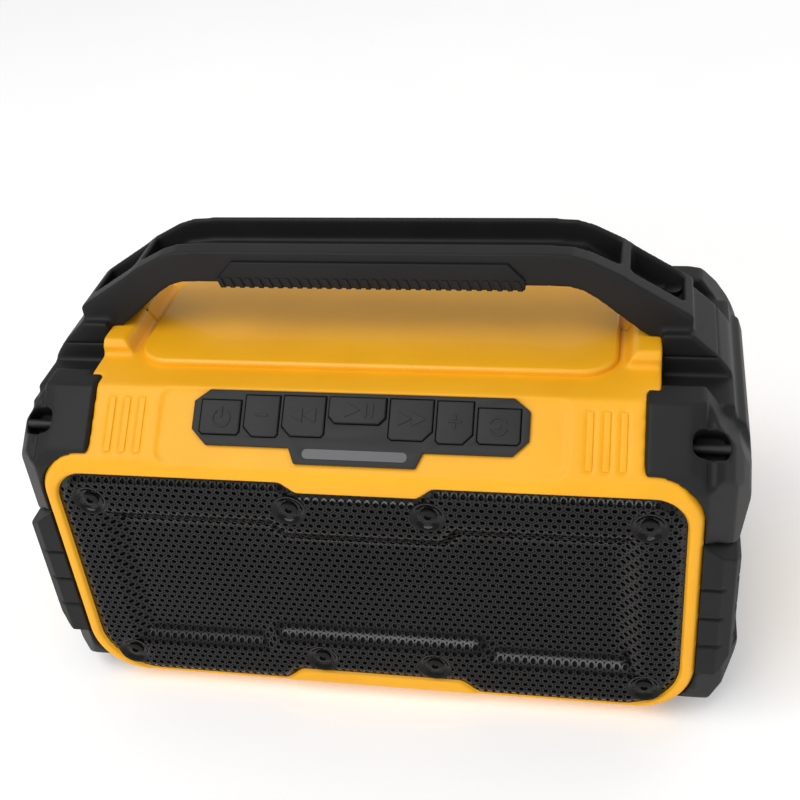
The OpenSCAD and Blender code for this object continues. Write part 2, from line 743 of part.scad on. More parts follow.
module cone_body() {
  e = flange_r - 14.5;
  color([0.12, 0.12, 0.12]) rotate_extrude() polygon([[0, -8.8], [5, -9.5], [10, -12.2], [e, -0.8], [e, -1.6],
    [11, -13.2], [11, -30], [10.2, -30], [10.2, -13.2], [5, -10.5], [0, -9.8]]);
}

// Half-roll between cone edge and clamped lip
module surround() {
  e = flange_r - 14.5;
  o = flange_r - 9;
  m = (e + o) / 2;
  q = (o - e) / 2;
  color([0.08, 0.08, 0.08]) rotate_extrude() union() {
    difference() {
      translate([m, -0.8]) circle(q);
      translate([m, -0.8]) circle(q - 0.7);
      translate([0, -20.8]) square([m + 20, 20]);
    }
    translate([o - 0.7, -0.8]) square([3.2, 0.7]);
  }
}

module left_basket() {
  at_driver(-1) basket();
}

module right_basket() {
  at_driver(1) basket();
}

module left_motor() {
  at_driver(-1) motor();
}

module right_motor() {
  at_driver(1) motor();
}

module left_cone() {
  at_driver(-1) cone_body();
}

module right_cone() {
  at_driver(1) cone_body();
}

module left_surround() {
  at_driver(-1) surround();
}

module right_surround() {
  at_driver(1) surround();
}

module driver_gaskets() {
  color([0.12, 0.12, 0.12]) for (s = [-1, 1]) at_driver(s) translate([0, 0, -0.8]) linear_extrude(0.8) difference() {
    circle(flange_r);
    circle(flange_r - 6);
    for (a = [45 : 90 : 315]) rotate(a) translate([flange_r - 3, 0]) circle(screw_r + screw_gap);
  }
}

module driver_screws() {
  color([0.6, 0.6, 0.6]) for (p = driver_pts()) translate([p[0], 0, p[1]]) {
    along_y(bb - 2.8, bb + 3.3) circle(screw_r);
    along_y(bb + 3.3, bb + 5) circle(2.7);
  }
}

module main_board() {
  color([0.1, 0.35, 0.2]) along_y(main_y, main_y + main_t) difference() {
    rect(-58, 58, 28, 92);
    for (p = main_pts()) translate(p) circle(1.25);
  }
}

module board_screws() {
  color([0.6, 0.6, 0.6]) {
    for (p = main_pts()) translate([p[0], 0, p[1]]) {
      along_y(main_y, main_y + 6.5) circle(1.15);
      along_y(main_y - 1.6, main_y) circle(2.2);
    }
    on_face() for (p = [[-57.5, 19], [57.5, 19], [-28, 7.5], [28, 7.5]]) translate([p[0], p[1], board_n]) {
      cylinder(r = 0.95, h = 5);
      translate([0, 0, -1.4]) cylinder(r = 1.9, h = 1.4);
    }
  }
}

module battery_cells() {
  color([0.2, 0.35, 0.6]) both_sides() along_x(1, 66) translate([cell_y, cell_z]) circle(cell_r);
}

module battery_holder() {
  color([0.12, 0.12, 0.12]) difference() {
    box(-69, 69, cell_y - 12, cell_y + 12, wall, cell_z + 1);
    both_sides() along_x(-1, 66) translate([cell_y, cell_z]) circle(cell_r);
    box(-66, 66, cell_y - cell_r, cell_y + cell_r, cell_z, cell_z + 20);
  }
}

module charge_socket() {
  color([0.7, 0.7, 0.7]) along_y(main_y + main_t, rear_out - 3.2) difference() {
    rrect(-25.5, -16.5, 34.3, 37.7, 1.6);
    rrect(-24.7, -17.3, 35.1, 36.9, 0.8);
  }
}

module audio_socket() {
  color([0.1, 0.1, 0.1]) along_y(main_y + main_t, rear_out - 3.2) translate([-7, 36]) difference() {
    circle(3.4);
    circle(1.8);
  }
}

module usb_socket() {
  color([0.7, 0.7, 0.7]) along_y(main_y + main_t, rear_out - 3.2) difference() {
    rect(2, 15, 33.2, 38.8);
    rect(2.6, 14.4, 33.8, 38.2);
  }
  color([0.1, 0.1, 0.1]) along_y(main_y + main_t, rear_out - 4) rect(3.4, 13.6, 35.9, 37.5);
}

module card_socket() {
  color([0.7, 0.7, 0.7]) along_y(main_y + main_t, rear_out - 3.2) difference() {
    rect(18, 27, 35, 37);
    rect(18.5, 26.5, 35.5, 36.5);
  }
}

// Cover over the sockets, turning on a pin below it
module port_door() {
  y1 = rear_out - 0.2;
  y0 = y1 - door_t;
  color([0.13, 0.13, 0.13]) difference() {
    union() {
      along_y(y0, y1) rrect(-port_hw + 0.4, port_hw - 0.4, port_z0 + 0.4, port_z1 - 0.4, 2.6);
      along_x(-20, 20) {
        polygon([[y1 - 0.6, port_z0 + 0.7], [y1 - 0.6, port_z0 + 4], [y1 + 1, port_z0 + 4],
          [hinge_y + 1.5, hinge_z + 1.3], [hinge_y, hinge_z - 1], [hinge_y - 1.95, hinge_z],
          [hinge_y - 1.95, port_z0 + 0.7]]);
        translate([hinge_y, hinge_z]) circle(2);
      }
      along_x(-8, 8) polygon([[y1 - 0.5, port_z1 - 4], [y1 + 1.4, port_z1 - 2.6], [y1 + 1.4, port_z1 - 1.4],
        [y1 - 0.5, port_z1 - 1.4]]);
    }
    along_x(-21, 21) translate([hinge_y, hinge_z]) circle(1.2);
  }
}

module port_door_pin() {
  color([0.7, 0.7, 0.7]) along_x(-26, 26) translate([hinge_y, hinge_z]) circle(0.9);
}

module housing_screws() {
  color([0.5, 0.5, 0.5]) at_columns() {
    along_y(-12, 15) circle(screw_r);
    along_y(15, 18) difference() {
      circle(head_r);
      circle(1.2, $fn = 6);
    }
  }
}

module feet() {
  color([0.08, 0.08, 0.08]) for (sx = [-1, 1]) for (sy = [-1, 1])
    translate([sx * foot_x, sy * (hd - 20), -foot_h]) cylinder(r = foot_r, h = foot_h + 1);
}

module speaker_leads() {
  color([0.7, 0.1, 0.1]) for (s = [-1, 1]) for (d = [-2.5, 2.5])
    translate([s * driver_x + d, 0, driver_axis + 6]) along_y(bb + 44, main_y) circle(0.8);
}

module battery_lead() {
  y0 = cell_y + 10.6;
  r = 5;
  color([0.1, 0.1, 0.1]) for (d = [-2, 2]) translate([d, 0, 0]) {
    translate([0, y0, cell_z + 1]) cylinder(r = 0.8, h = 20);
    translate([0, y0 + r, cell_z + 21]) rotate([90, 0, 90]) rotate([0, 0, 90])
      rotate_extrude(angle = 90) translate([r, 0]) circle(0.8);
    translate([0, 0, cell_z + 21 + r]) along_y(y0 + r, main_y) circle(0.8);
  }
}

module keypad_ribbon() {
  y0 = by + 14 * fc - board_n * fs;
  z0 = bz + 14 * fs + board_n * fc;
  color([0.75, 0.75, 0.72]) along_x(-6, 6)
    polygon([[y0, z0], [y0 + 1.2 * fc, z0 + 1.2 * fs], [-20, z0 - 5], [main_y - 18, z0 - 5], [main_y, 89],
      [main_y, 87.6], [main_y - 18.4, z0 - 5.8], [-20.4, z0 - 5.8]]);
}

lift() front_housing();
lift() rear_housing();
lift() housing_gasket();
lift() deck_plate();
lift() left_end_cap();
lift() right_end_cap();
lift() left_front_bumper();
lift() right_front_bumper();
lift() left_rear_bumper();
lift() right_rear_bumper();
lift() left_corner_guard();
lift() right_corner_guard();
lift() strap_bars();
lift() handle();
lift() handle_grip();
lift() handle_screws();
lift() front_grille();
lift() grille_cloth();
lift() grille_screws();
lift() keypad();
lift() power_button();
lift() volume_down_button();
lift() previous_button();
lift() play_button();
lift() next_button();
lift() volume_up_button();
lift() pairing_button();
lift() light_bar();
lift() control_board();
lift() tact_switches();
lift() left_basket();
lift() left_motor();
lift() left_cone();
lift() left_surround();
lift() right_basket();
lift() right_motor();
lift() right_cone();
lift() right_surround();
lift() driver_gaskets();
lift() driver_screws();
lift() main_board();
lift() board_screws();
lift() battery_cells();
lift() battery_holder();
lift() charge_socket();
lift() audio_socket();
lift() usb_socket();
lift() card_socket();
lift() port_door();
lift() port_door_pin();
lift() housing_screws();
lift() feet();
lift() speaker_leads();
lift() battery_lead();
lift() keypad_ribbon();
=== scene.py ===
import json
import math

import bpy
import numpy as np
from mathutils import Matrix, Vector

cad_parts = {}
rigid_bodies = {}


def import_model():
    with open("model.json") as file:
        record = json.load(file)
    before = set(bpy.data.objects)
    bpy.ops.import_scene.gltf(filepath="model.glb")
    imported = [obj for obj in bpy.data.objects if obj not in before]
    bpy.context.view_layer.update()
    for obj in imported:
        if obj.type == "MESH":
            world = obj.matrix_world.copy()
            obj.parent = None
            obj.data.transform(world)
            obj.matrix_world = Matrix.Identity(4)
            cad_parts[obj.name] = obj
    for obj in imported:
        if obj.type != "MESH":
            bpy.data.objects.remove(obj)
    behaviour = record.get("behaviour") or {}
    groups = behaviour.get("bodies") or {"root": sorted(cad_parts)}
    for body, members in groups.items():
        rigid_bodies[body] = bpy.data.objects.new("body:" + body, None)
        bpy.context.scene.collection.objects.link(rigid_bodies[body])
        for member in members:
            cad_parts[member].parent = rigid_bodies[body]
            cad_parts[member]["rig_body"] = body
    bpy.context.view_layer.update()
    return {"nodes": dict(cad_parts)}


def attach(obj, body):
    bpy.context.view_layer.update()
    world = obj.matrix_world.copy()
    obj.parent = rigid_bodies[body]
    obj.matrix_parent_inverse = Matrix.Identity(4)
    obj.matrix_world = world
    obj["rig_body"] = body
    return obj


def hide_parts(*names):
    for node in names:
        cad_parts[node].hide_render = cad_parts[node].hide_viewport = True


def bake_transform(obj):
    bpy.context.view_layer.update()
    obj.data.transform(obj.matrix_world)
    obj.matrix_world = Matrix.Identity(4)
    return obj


mm = 0.001

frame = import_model()
print("frame loaded:", len(frame["nodes"]), "nodes")

# sizes that the solids are built on, in millimetres and degrees
body = {"frontFace": 65.5, "rearFace": 68.5, "deck": 128.5, "faceAngle": 40.0, "faceLength": 29.6}
slope = math.radians(body["faceAngle"])
faceNormal = (0, -math.sin(slope), math.cos(slope))
faceFoot = Vector((0, -body["frontFace"], body["deck"] - body["faceLength"] * math.sin(slope)))
onFace = Matrix.Translation(faceFoot * mm) @ Matrix.Rotation(slope, 4, "X")  # local z stands off the key face
onFront = Matrix.Rotation(math.radians(90), 4, "X")  # local z points to the front
weld = {"copy": 0.01, "lathe": 0.005, "cell": 0.02, "sheet": 0.03}
topFaces = {"facing": 0.97, "level": 0.1}
flatAngle = math.radians(0.5)


def deselectAll():
    if bpy.context.object and bpy.context.object.mode != "OBJECT":
        bpy.ops.object.mode_set(mode="OBJECT")
    bpy.ops.object.select_all(action="DESELECT")


def pick(piece):
    deselectAll()
    piece.select_set(True)
    bpy.context.view_layer.objects.active = piece
    return piece


def editAll(piece):
    pick(piece)
    bpy.ops.object.mode_set(mode="EDIT")
    bpy.ops.mesh.select_all(action="SELECT")


def objectMode():
    bpy.ops.object.mode_set(mode="OBJECT")


def finishWith(piece, kind, **settings):
    pick(piece)
    modifier = piece.modifiers.new(kind.lower(), kind)
    for key, value in settings.items():
        setattr(modifier, key, value)
    bpy.ops.object.modifier_apply(modifier=modifier.name)
    return piece


def copyNode(nodeName, pieceName):
    piece = bpy.data.objects.new(pieceName, frame["nodes"][nodeName].data.copy())
    bpy.context.scene.collection.objects.link(piece)
    piece.data.materials.clear()
    editAll(piece)
    bpy.ops.mesh.customdata_custom_splitnormals_clear()
    bpy.ops.mesh.remove_doubles(threshold=weld["copy"] * mm)
    bpy.ops.mesh.dissolve_limited(angle_limit=flatAngle)
    objectMode()
    return piece


def mould(piece, grain, passes, keep=1.0):
    finishWith(piece, "REMESH", mode="VOXEL", voxel_size=grain * mm)  # rounds every edge as a mould does
    finishWith(piece, "SMOOTH", factor=0.5, iterations=passes)
    if keep < 1:
        finishWith(piece, "DECIMATE", decimate_type="COLLAPSE", ratio=keep)
    pick(piece)
    bpy.ops.object.shade_smooth()
    finishWith(piece, "WEIGHTED_NORMAL", weight=50)
    return piece


def slab(name, outline, depth, place):
    mesh = bpy.data.meshes.new(name)
    mesh.from_pydata([(a * mm, b * mm, 0) for a, b in outline], [], [range(len(outline))])
    piece = bpy.data.objects.new(name, mesh)
    bpy.context.scene.collection.objects.link(piece)
    editAll(piece)
    bpy.ops.mesh.extrude_region_move(TRANSFORM_OT_translate={"value": (0, 0, depth * mm)})
    bpy.ops.mesh.select_all(action="SELECT")
    bpy.ops.mesh.normals_make_consistent(inside=False)
    objectMode()
    mesh.transform(place)
    return piece


def roundRect(x0, x1, y0, y1, radius, steps=6):
    points = []
    for cx, cy, start in ((x1 - radius, y1 - radius, 0), (x0 + radius, y1 - radius, 90),
                          (x0 + radius, y0 + radius, 180), (x1 - radius, y0 + radius, 270)):
        for i in range(steps + 1):
            turn = math.radians(start + 90 * i / steps)
            points.append((cx + radius * math.cos(turn), cy + radius * math.sin(turn)))
    return points


def lathe(name, profile, place, sides=32):
    mesh = bpy.data.meshes.new(name)
    steps = [(i, i + 1) for i in range(len(profile) - 1)]
    mesh.from_pydata([(r * mm, 0, h * mm) for r, h in profile], steps, [])
    piece = bpy.data.objects.new(name, mesh)
    bpy.context.scene.collection.objects.link(piece)
    finishWith(piece, "SCREW", axis="Z", angle=2 * math.pi, steps=sides, render_steps=sides,
               use_merge_vertices=True, merge_threshold=weld["lathe"] * mm)
    editAll(piece)
    bpy.ops.mesh.remove_doubles(threshold=weld["lathe"] * mm)
    bpy.ops.mesh.normals_make_consistent(inside=False)
    objectMode()
    piece.data.transform(place)
    return piece


def join(pieces, name):
    pick(pieces[0])
    for piece in pieces:
        piece.select_set(True)
    if len(pieces) > 1:
        bpy.ops.object.join()
    pieces[0].name = name
    return pieces[0]


def smoothByAngle(piece, angle=35):
    pick(piece)
    bpy.ops.object.shade_smooth_by_angle(angle=math.radians(angle))
    return piece


def roundTop(piece, axis, width, segments=4):
    # rounds the rim of the highest faces that look along the axis
    axis = Vector(axis)
    mesh = piece.data
    upward = [face.index for face in mesh.polygons if face.normal.dot(axis) > topFaces["facing"]]
    top = max(mesh.polygons[i].center.dot(axis) for i in upward)
    pick(piece)
    for group in (mesh.vertices, mesh.edges, mesh.polygons):
        group.foreach_set("select", [False] * len(group))
    for i in upward:
        mesh.polygons[i].select = mesh.polygons[i].center.dot(axis) > top - topFaces["level"] * mm
    bpy.ops.object.mode_set(mode="EDIT")
    bpy.ops.mesh.select_mode(type="FACE")
    bpy.ops.mesh.dissolve_limited(angle_limit=math.radians(1))
    bpy.ops.mesh.bevel(offset=width * mm, segments=segments, affect="EDGES")
    objectMode()
    return smoothByAngle(piece)


def ease(value):
    value = np.clip(value, 0, 1)
    return value * value * (3 - 2 * value)


def cut(piece, cutter):
    finishWith(piece, "BOOLEAN", operation="DIFFERENCE", object=cutter, solver="EXACT")
    bpy.data.objects.remove(cutter)
    return piece


def settle(piece, nodeName, finish):
    piece.data.materials.clear()
    piece.data.materials.append(finish)
    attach(piece, frame["nodes"][nodeName]["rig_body"])
    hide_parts(nodeName)
    return piece


# finishes
def startFinish(name):
    finish = bpy.data.materials.new(name)
    finish.use_nodes = True
    nodes = finish.node_tree.nodes
    coords = nodes.new("ShaderNodeTexCoord")
    return finish, nodes, finish.node_tree.links, nodes["Principled BSDF"], coords


def addNoise(nodes, links, coords, scale, detail=3):
    noise = nodes.new("ShaderNodeTexNoise")
    noise.inputs["Scale"].default_value = scale
    noise.inputs["Detail"].default_value = detail
    links.new(coords.outputs["Object"], noise.inputs["Vector"])
    return noise


def spread(nodes, links, source, low, high):
    ramp = nodes.new("ShaderNodeMapRange")
    ramp.inputs["To Min"].default_value = low
    ramp.inputs["To Max"].default_value = high
    links.new(source, ramp.inputs["Value"])
    return ramp.outputs["Result"]


def tint(nodes, links, source, dark, light):
    ramp = nodes.new("ShaderNodeValToRGB")
    ramp.color_ramp.elements[0].position = 0.35
    ramp.color_ramp.elements[1].position = 0.65
    ramp.color_ramp.elements[0].color = (*dark, 1)
    ramp.color_ramp.elements[1].color = (*light, 1)
    links.new(source, ramp.inputs["Fac"])
    return ramp.outputs["Color"]


def addBump(nodes, links, shader, height, strength, distance):
    bump = nodes.new("ShaderNodeBump")
    bump.inputs["Strength"].default_value = strength
    bump.inputs["Distance"].default_value = distance * mm
    links.new(height, bump.inputs["Height"])
    links.new(bump.outputs["Normal"], shader.inputs["Normal"])


cloudScale = 38
grainStrength = 0.35
coatRoughness = 0.06


def mouldedFinish(name, dark, light, rough, grainScale, grainDepth, specular=0.5, coat=0.0, metallic=0.0):
    finish, nodes, links, shader, coords = startFinish(name)
    cloud = addNoise(nodes, links, coords, cloudScale)
    grain = addNoise(nodes, links, coords, grainScale, 2)
    links.new(tint(nodes, links, cloud.outputs["Fac"], dark, light), shader.inputs["Base Color"])
    links.new(spread(nodes, links, grain.outputs["Fac"], rough[0], rough[1]), shader.inputs["Roughness"])
    addBump(nodes, links, shader, grain.outputs["Fac"], grainStrength, grainDepth)
    shader.inputs["Specular IOR Level"].default_value = specular
    shader.inputs["Coat Weight"].default_value = coat
    shader.inputs["Coat Roughness"].default_value = coatRoughness
    shader.inputs["Metallic"].default_value = metallic
    return finish


finishRecipes = {
    "yellowShell": {"dark": (0.87, 0.40, 0.009), "light": (0.91, 0.43, 0.012), "rough": (0.36, 0.48),
                    "grainScale": 900, "grainDepth": 0.03, "specular": 0.3},
    "yellowGloss": {"dark": (0.88, 0.41, 0.010), "light": (0.92, 0.44, 0.013), "rough": (0.27, 0.33),
                    "grainScale": 400, "grainDepth": 0.01, "specular": 0.4, "coat": 0.15},
    "blackPlastic": {"dark": (0.010, 0.010, 0.0105), "light": (0.013, 0.013, 0.0135), "rough": (0.45, 0.6),
                     "grainScale": 1500, "grainDepth": 0.06, "specular": 0.22},
    "blackRubber": {"dark": (0.008, 0.008, 0.0085), "light": (0.011, 0.011, 0.0115), "rough": (0.55, 0.72),
                    "grainScale": 1900, "grainDepth": 0.05, "specular": 0.25},
    "keyRubber": {"dark": (0.019, 0.019, 0.020), "light": (0.022, 0.022, 0.023), "rough": (0.52, 0.66),
                  "grainScale": 2100, "grainDepth": 0.04, "specular": 0.3},
    "grillePaint": {"dark": (0.004, 0.004, 0.004), "light": (0.006, 0.006, 0.006), "rough": (0.13, 0.19),
                    "grainScale": 900, "grainDepth": 0.01, "specular": 0.3},
    "glossBlack": {"dark": (0.004, 0.004, 0.004), "light": (0.006, 0.006, 0.006), "rough": (0.1, 0.16),
                   "grainScale": 700, "grainDepth": 0.01, "specular": 0.18},
    "dullMetal": {"dark": (0.012, 0.012, 0.0125), "light": (0.016, 0.016, 0.0165), "rough": (0.4, 0.55),
                  "grainScale": 1500, "grainDepth": 0.03, "specular": 0.35},
    "steel": {"dark": (0.42, 0.42, 0.43), "light": (0.52, 0.52, 0.53), "rough": (0.22, 0.38),
              "grainScale": 2600, "grainDepth": 0.02, "metallic": 1.0},
    "darkZinc": {"dark": (0.05, 0.05, 0.052), "light": (0.07, 0.07, 0.072), "rough": (0.35, 0.5),
                 "grainScale": 2600, "grainDepth": 0.02, "metallic": 1.0},
    "clothBlack": {"dark": (0.006, 0.006, 0.006), "light": (0.010, 0.010, 0.010), "rough": (0.8, 0.95),
                   "grainScale": 1600, "grainDepth": 0.15, "specular": 0.2},
    "frosted": {"dark": (0.075, 0.075, 0.08), "light": (0.085, 0.085, 0.09), "rough": (0.38, 0.48),
                "grainScale": 1500, "grainDepth": 0.01},
    "boardGreen": {"dark": (0.010, 0.085, 0.035), "light": (0.02, 0.14, 0.06), "rough": (0.3, 0.45),
                   "grainScale": 700, "grainDepth": 0.02},
    "partGrey": {"dark": (0.09, 0.09, 0.09), "light": (0.13, 0.13, 0.13), "rough": (0.4, 0.55),
                 "grainScale": 1200, "grainDepth": 0.03},
    "ferrite": {"dark": (0.035, 0.035, 0.037), "light": (0.06, 0.06, 0.062), "rough": (0.45, 0.65),
                "grainScale": 1400, "grainDepth": 0.08},
    "conePulp": {"dark": (0.012, 0.012, 0.012), "light": (0.02, 0.02, 0.02), "rough": (0.65, 0.85),
                 "grainScale": 1000, "grainDepth": 0.15},
    "cellSleeve": {"dark": (0.03, 0.09, 0.26), "light": (0.04, 0.11, 0.3), "rough": (0.25, 0.35),
                   "grainScale": 500, "grainDepth": 0.01},
}
finishes = {name: mouldedFinish(name, **recipe) for name, recipe in finishRecipes.items()}
print("finishes:", len(finishes))

# which finish and record slot each solid takes
nodeFinishes = {
    "yellowShell": ("yellow_shell", "front_housing rear_housing"),
    "yellowGloss": ("yellow_shell", "deck_plate"),
    "blackPlastic": ("black_plastic", "left_end_cap right_end_cap left_corner_guard right_corner_guard "
                     "handle port_door battery_holder"),
    "blackRubber": ("black_rubber", "left_front_bumper right_front_bumper left_rear_bumper right_rear_bumper "
                    "handle_grip housing_gasket feet driver_gaskets left_surround right_surround"),
    "keyRubber": ("key_rubber", "keypad power_button volume_down_button previous_button play_button "
                  "next_button volume_up_button pairing_button"),
    "glossBlack": ("black_metal", "front_grille grille_screws left_basket right_basket"),
    "dullMetal": ("black_metal", "strap_bars"),
    "darkZinc": ("steel", "handle_screws housing_screws"),
    "steel": ("steel", "driver_screws board_screws port_door_pin charge_socket usb_socket card_socket"),
    "clothBlack": ("cloth", "grille_cloth"),
    "frosted": ("light_window", "light_bar"),
    "boardGreen": ("board", "control_board main_board"),
    "partGrey": ("part_plastic", "tact_switches audio_socket keypad_ribbon speaker_leads battery_lead"),
    "ferrite": ("ferrite", "left_motor right_motor"),
    "conePulp": ("cone_pulp", "left_cone right_cone"),
    "cellSleeve": ("cell_sleeve", "battery_cells"),
}
finishOf = {}
for finishName, (slotName, names) in nodeFinishes.items():
    for name in names.split():
        finishOf[name] = finishes[finishName]
        solid = frame["nodes"][name]
        solid.data.materials.clear()
        solid.data.materials.append(finishes[finishName])

# moulded shells: node, voxel in millimetres, smoothing passes, share of the faces kept
moulded = {
    "front_housing": (0.7, 4, 0.25),
    "rear_housing": (0.8, 4, 0.25),
    "left_end_cap": (0.7, 9, 1),
    "right_end_cap": (0.7, 9, 1),
    "left_corner_guard": (0.7, 9, 1),
    "right_corner_guard": (0.7, 9, 1),
    "left_front_bumper": (0.5, 6, 1),
    "right_front_bumper": (0.5, 6, 1),
    "left_rear_bumper": (0.5, 6, 1),
    "right_rear_bumper": (0.5, 6, 1),
    "handle": (0.7, 7, 1),
}
# corners of the rim: the bevel (width, depth) of its side runs into that of its foot, or dies out at the top
rimSide = (1.6, 2.5)
rimCorners = [{"x": 89.0, "z": 27.5, "up": -1, "radius": 26.0, "opening": 21.3, "end": (5.5, 6.5)},
              {"x": 98.0, "z": 95.5, "up": 1, "radius": 17.0, "opening": 12.3, "end": (0.0, 1.0)}]
seam = {"reach": 1.1, "gap": 0.12}


def bevelCorners(piece, side):
    places = np.zeros(len(piece.data.vertices) * 3)
    piece.data.vertices.foreach_get("co", places)
    places = places.reshape(-1, 3) / mm
    depth = body["frontFace" if side < 0 else "rearFace"] - side * places[:, 1]
    for corner in rimCorners:
        across = np.abs(places[:, 0]) - corner["x"]
        along = corner["up"] * (places[:, 2] - corner["z"])
        sideInset, endInset = (w * np.clip(1 - depth / d, 0, 1) for w, d in (rimSide, corner["end"]))
        share = ease(np.arctan2(along, across) / (math.pi / 2)) ** 2
        inset = sideInset * (1 - share) + endInset * share
        limit = np.maximum(corner["radius"] - inset, corner["opening"])
        reach = np.hypot(across, along)
        shaved = (across > 0) & (along > 0) & (inset > 0) & (reach > limit)
        scale = limit[shaved] / reach[shaved]
        places[shaved, 0] = np.sign(places[shaved, 0]) * (corner["x"] + across[shaved] * scale)
        places[shaved, 2] = corner["z"] + corner["up"] * along[shaved] * scale
    piece.data.vertices.foreach_set("co", (places * mm).ravel())
    piece.data.update()


def closeSeam(piece, side):
    # the halves meet over the gasket, so that only a hairline shows
    for vertex in piece.data.vertices:
        if abs(vertex.co.y) < seam["reach"] * mm:
            vertex.co.y = side * seam["gap"] * mm


for name, (grain, passes, keep) in moulded.items():
    piece = copyNode(name, name + "_moulded")
    side = -1 if name == "front_housing" else 1
    if name.endswith("housing"):
        finishWith(piece, "REMESH", mode="VOXEL", voxel_size=grain * mm)
        bevelCorners(piece, side)
    mould(piece, grain, passes, keep)
    if name.endswith("housing"):
        closeSeam(piece, side)
    settle(piece, name, finishOf[name])
    print("moulded", name, len(piece.data.polygons), "faces")

# bars that stand in the recesses at both ends of the sloped face
flutes = {"places": (77.5, 83.0, 88.5), "halfWidth": 1.15, "low": 5.5, "high": 25.5, "radius": 0.4,
          "base": -1.2, "rise": 1.15, "rounding": 0.3}


def makeFlutes():
    bars = []
    half, low, high = flutes["halfWidth"], flutes["low"], flutes["high"]
    place = onFace @ Matrix.Translation((0, 0, flutes["base"] * mm))
    for x in flutes["places"]:
        for centre in (-x, x):
            outline = roundRect(centre - half, centre + half, low, high, flutes["radius"], 3)
            flute = slab("flute", outline, flutes["rise"], place)
            flute.data.materials.append(finishes["yellowShell"])
            bars.append(roundTop(flute, faceNormal, flutes["rounding"], 3))
    return join([bpy.data.objects["front_housing_moulded"]] + bars, "front_housing_moulded")


makeFlutes()
print("flutes", 2 * len(flutes["places"]))

# front grille: perforated sheet, heights in millimetres forward of the flange seat
sheet = {"halfWidth": 109.9, "low": 6.8, "high": 105.2, "lowRadius": 20.9, "highRadius": 11.9, "seat": -64.5,
         "pitch": 3.0, "hole": 1.75, "holeSides": 12, "holeSlack": 0.1, "margin": 1.4, "trim": 2.1,
         "flange": 1.2, "border": -0.5, "borderWidth": 3.6, "field": -4.0, "slope": 10.0, "thickness": 1.0,
         "dimple": 4.2, "dimpleRim": 6.4}
notches = {"topOuter": 26.8, "topInner": 21.1, "topDepth": 4.6,
           "lowOuter": 37.3, "lowInner": 30.8, "lowDepth": 5.5}
field = {"halfWidth": 97.0, "low": 20.4, "high": 90.6, "step": 5.6, "lowOuter": 41.0, "lowInner": 36.0,
         "highOuter": 31.0, "highInner": 26.0}
screwSpots = [(-97.6, 93.7), (-24.3, 93.7), (24.3, 93.7), (97.6, 93.7),
              (-97.6, 17.3), (-21.5, 20.5), (21.5, 20.5), (97.6, 17.3)]


def arc(cx, cy, radius, start, steps=8):
    turns = [math.radians(start + 90 * i / steps) for i in range(steps + 1)]
    return [(cx + radius * math.cos(t), cy + radius * math.sin(t)) for t in turns]


def grilleOutline():
    half, low, high = sheet["halfWidth"], sheet["low"], sheet["high"]
    lowR, highR = sheet["lowRadius"], sheet["highRadius"]
    points = arc(half - highR, high - highR, highR, 0)
    points += [(notches["topOuter"], high), (notches["topInner"], high - notches["topDepth"])]
    points += [(-notches["topInner"], high - notches["topDepth"]), (-notches["topOuter"], high)]
    points += arc(highR - half, high - highR, highR, 90) + arc(lowR - half, low + lowR, lowR, 180)
    points += [(-notches["lowOuter"], low), (-notches["lowInner"], low + notches["lowDepth"])]
    points += [(notches["lowInner"], low + notches["lowDepth"]), (notches["lowOuter"], low)]
    return points + arc(half - lowR, low + lowR, lowR, 270)


def fieldOutline():
    half, low, high, step = field["halfWidth"], field["low"], field["high"], field["step"]
    right = [(half, low), (half, high), (field["highOuter"], high), (field["highInner"], high - step)]
    left = [(-field["highInner"], high - step), (-field["highOuter"], high), (-half, high), (-half, low)]
    foot = [(-field["lowOuter"], low), (-field["lowInner"], low + step), (field["lowInner"], low + step)]
    return right + left + foot + [(field["lowOuter"], low)]


def edgeDistance(points, outline):
    # nearest point on a closed outline, and the distance to it, positive inside
    best = np.full(len(points), 1e9)
    nearest = np.zeros_like(points)
    inside = np.zeros(len(points), bool)
    for (ax, ay), (bx, by) in zip(outline, outline[1:] + outline[:1]):
        side = np.array((bx - ax, by - ay))
        share = np.clip(((points - (ax, ay)) @ side) / max(side @ side, 1e-9), 0, 1)
        foot = np.array((ax, ay)) + share[:, None] * side
        gap = np.hypot(*(points - foot).T)
        closer = gap < best
        best[closer] = gap[closer]
        nearest[closer] = foot[closer]
        crosses = (ay > points[:, 1]) != (by > points[:, 1])
        level = (points[:, 1] - ay) / (by - ay) if by != ay else np.zeros(len(points))
        inside ^= crosses & (points[:, 0] < ax + level * (bx - ax))
    return np.where(inside, best, -best), nearest


def perforatedCell(name):
    cellRadius = sheet["pitch"] / math.sqrt(3) * mm
    bpy.ops.mesh.primitive_circle_add(vertices=6, radius=cellRadius, location=(0, 0, 0))
    piece = bpy.context.object
    piece.name = name
    bpy.ops.object.mode_set(mode="EDIT")
    bpy.ops.mesh.select_all(action="SELECT")
    bpy.ops.transform.rotate(value=math.radians(30), orient_axis="Z", center_override=(0, 0, 0))
    bpy.ops.mesh.primitive_circle_add(vertices=sheet["holeSides"], radius=sheet["hole"] / 2 * mm,
                                      location=(0, 0, 0))
    bpy.ops.mesh.select_all(action="SELECT")
    bpy.ops.mesh.bridge_edge_loops()
    rowStep = sheet["pitch"] * math.sqrt(3) / 2
    bpy.ops.mesh.select_all(action="SELECT")
    bpy.ops.mesh.duplicate_move(TRANSFORM_OT_translate={"value": (sheet["pitch"] / 2 * mm, rowStep * mm, 0)})
    objectMode()
    return piece


